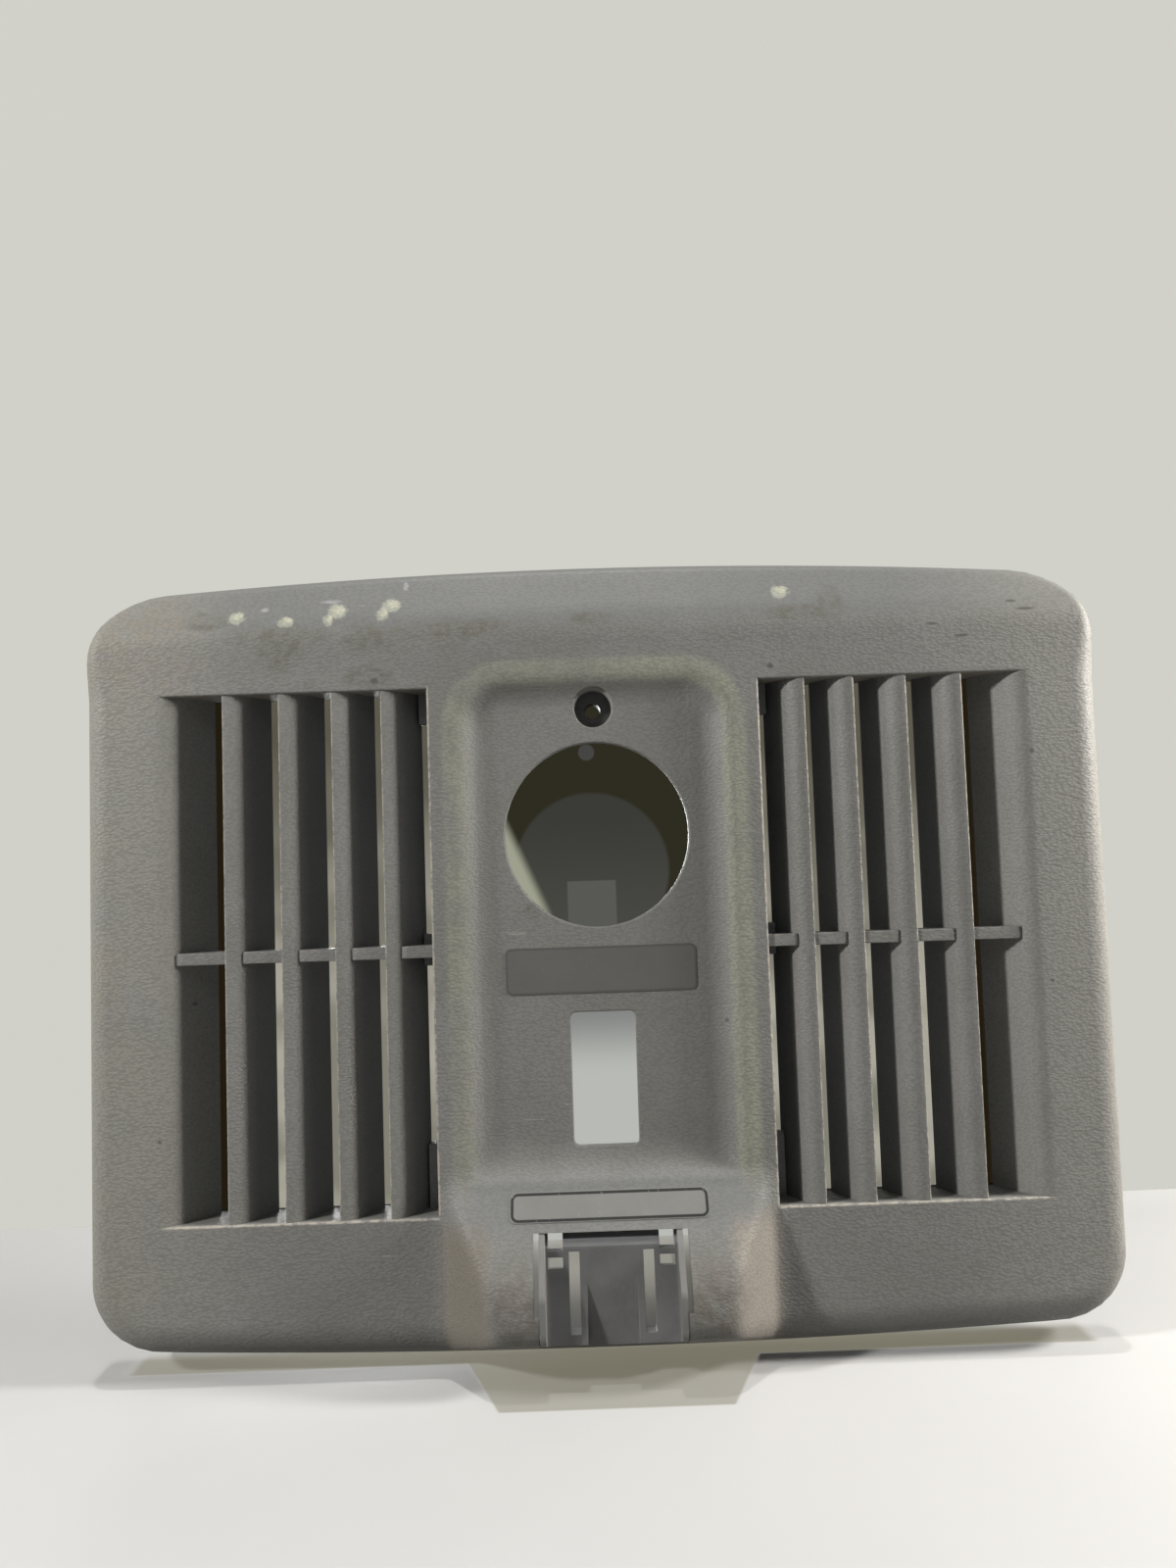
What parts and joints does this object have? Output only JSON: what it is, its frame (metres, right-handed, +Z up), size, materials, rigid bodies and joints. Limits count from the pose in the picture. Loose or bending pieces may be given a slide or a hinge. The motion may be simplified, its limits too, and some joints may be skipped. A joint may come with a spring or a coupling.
{
  "type": "cab roof vent cover",
  "caption": "Grey moulded inner cover of a cab roof vent, with a bank of slanted vanes on each side, a sunk tray with openings and a latch pocket below.",
  "frame": {"origin": "on the axis of the fixing screw's hole, in the plane of the rear rim", "axes": "+Z up the cover to its top edge, -Y out of the front face, +X to the right seen from the front"},
  "size_m": [0.353, 0.041, 0.2759],
  "materials": {
    "grained_grey": "fine leather grain, worn and dusty",
    "smooth_grey": "smooth moulded, slightly satin",
    "grey_film": "thin plain sticker",
    "clear_film": "thin sticker with a dark border",
    "dark_foam": "open cell foam strip",
    "spring_steel": "bright spring steel"
  },
  "bodies": {
    "root": {"cover": "grained_grey", "latch_pocket": "smooth_grey", "upper_label": "grey_film", "lower_label": "clear_film", "spring_clips": "spring_steel", "left_vane_1": "grained_grey", "left_vane_2": "grained_grey", "left_vane_3": "grained_grey", "left_vane_4": "grained_grey", "left_cross_rib": "grained_grey", "left_duct_seal": "dark_foam", "right_vane_1": "grained_grey", "right_vane_2": "grained_grey", "right_vane_3": "grained_grey", "right_vane_4": "grained_grey", "right_cross_rib": "grained_grey", "right_duct_seal": "dark_foam"}
  },
  "joints": []
}
